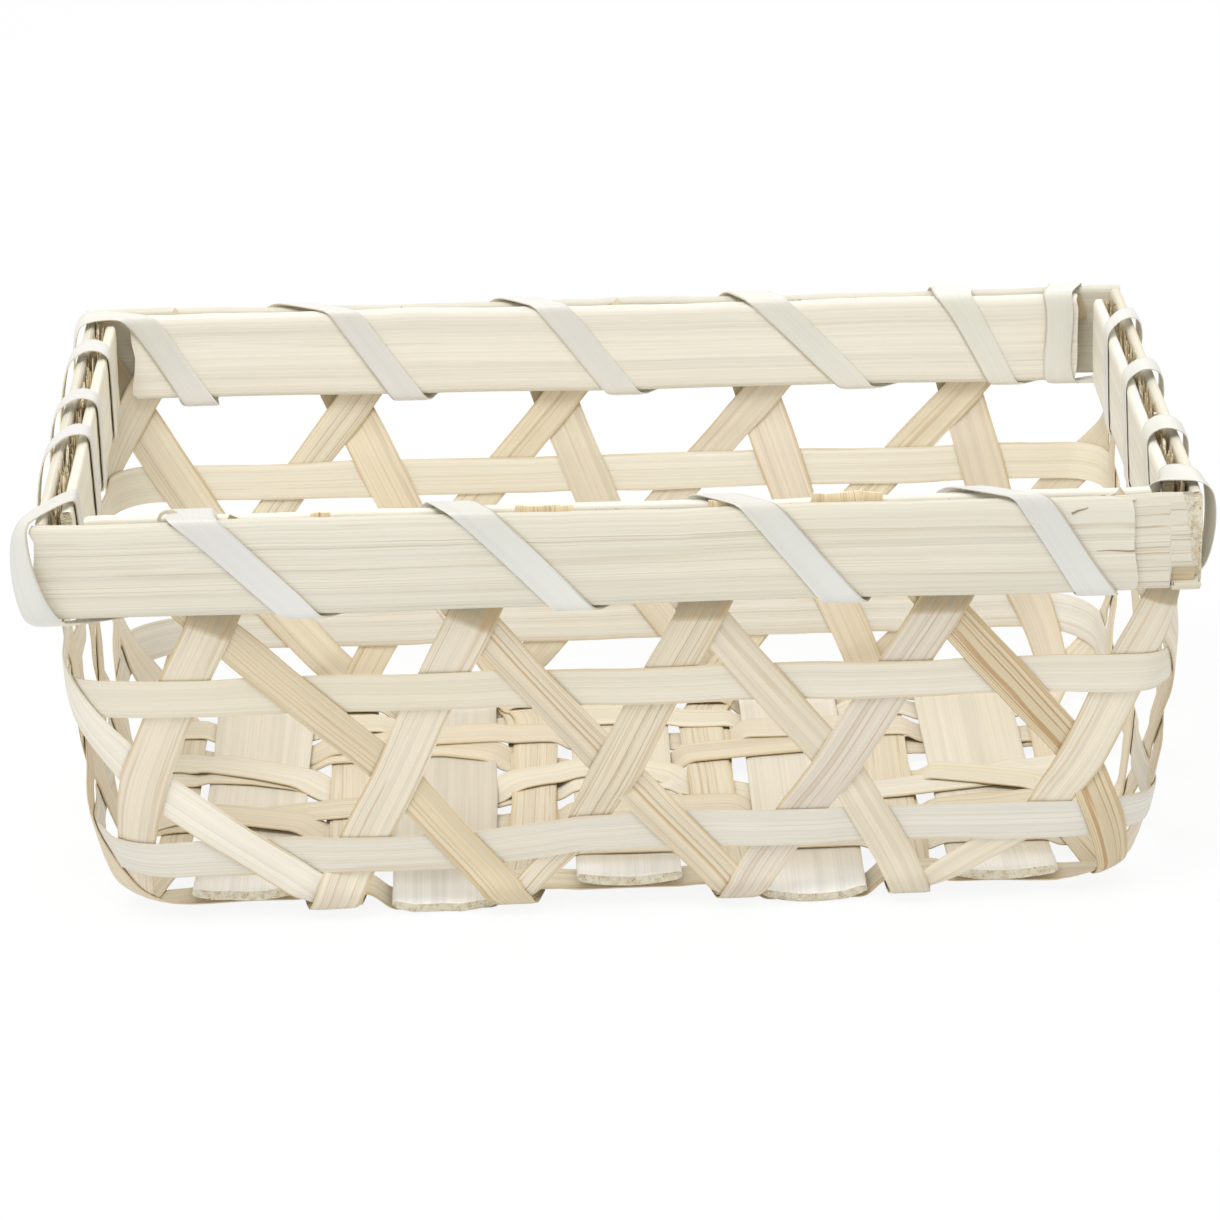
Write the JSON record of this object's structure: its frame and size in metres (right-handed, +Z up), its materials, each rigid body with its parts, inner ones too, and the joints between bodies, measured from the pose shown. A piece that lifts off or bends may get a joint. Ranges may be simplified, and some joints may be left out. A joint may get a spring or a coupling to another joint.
{
  "type": "berry basket",
  "caption": "Open rectangular basket woven from flat bamboo strips, with a slatted base and a lashed double slat rim.",
  "frame": {"origin": "centre of the bounding box in plan, at the level of the surface the basket stands on", "axes": "+X to the right along the long side, -Y to the front long side seen in the picture, +Z up through the open top"},
  "size_m": [0.2265, 0.1414, 0.0885],
  "materials": {
    "rim_bamboo": "pale cream split bamboo, satin, fine lengthwise grain",
    "lashing_bamboo": "light greyish bamboo skin, smooth with a slight sheen",
    "weaver_bamboo": "pale cream thin bamboo strip, satin",
    "slat_bamboo": "whitish silky split bamboo with rough cut ends",
    "strip_bamboo": "straw coloured bamboo strip with brown fibre lines, matt"
  },
  "bodies": {
    "root": {"rim_outer_front": "rim_bamboo", "rim_outer_front_splice": "rim_bamboo", "rim_outer_back": "rim_bamboo", "rim_outer_right": "rim_bamboo", "rim_outer_left": "rim_bamboo", "rim_inner_front": "rim_bamboo", "rim_inner_back": "rim_bamboo", "rim_inner_right": "rim_bamboo", "rim_inner_left": "rim_bamboo", "lashing": "lashing_bamboo", "weaver_upper": "weaver_bamboo", "weaver_lower": "weaver_bamboo", "base_weaver_front": "weaver_bamboo", "base_weaver_middle": "weaver_bamboo", "base_weaver_back": "weaver_bamboo", "base_slat_1": "slat_bamboo", "base_slat_2": "slat_bamboo", "base_slat_3": "slat_bamboo", "base_slat_4": "slat_bamboo", "base_slat_5": "slat_bamboo", "strip_column_left": "strip_bamboo", "strip_column_1a": "strip_bamboo", "strip_column_1b": "strip_bamboo", "strip_column_2a": "strip_bamboo", "strip_column_2b": "strip_bamboo", "strip_column_3a": "strip_bamboo", "strip_column_3b": "strip_bamboo", "strip_column_4a": "strip_bamboo", "strip_column_4b": "strip_bamboo", "strip_column_right": "strip_bamboo", "strip_row_front": "strip_bamboo", "strip_row_1a": "strip_bamboo", "strip_row_1b": "strip_bamboo", "strip_row_2a": "strip_bamboo", "strip_row_2b": "strip_bamboo", "strip_row_back": "strip_bamboo"}
  },
  "joints": []
}
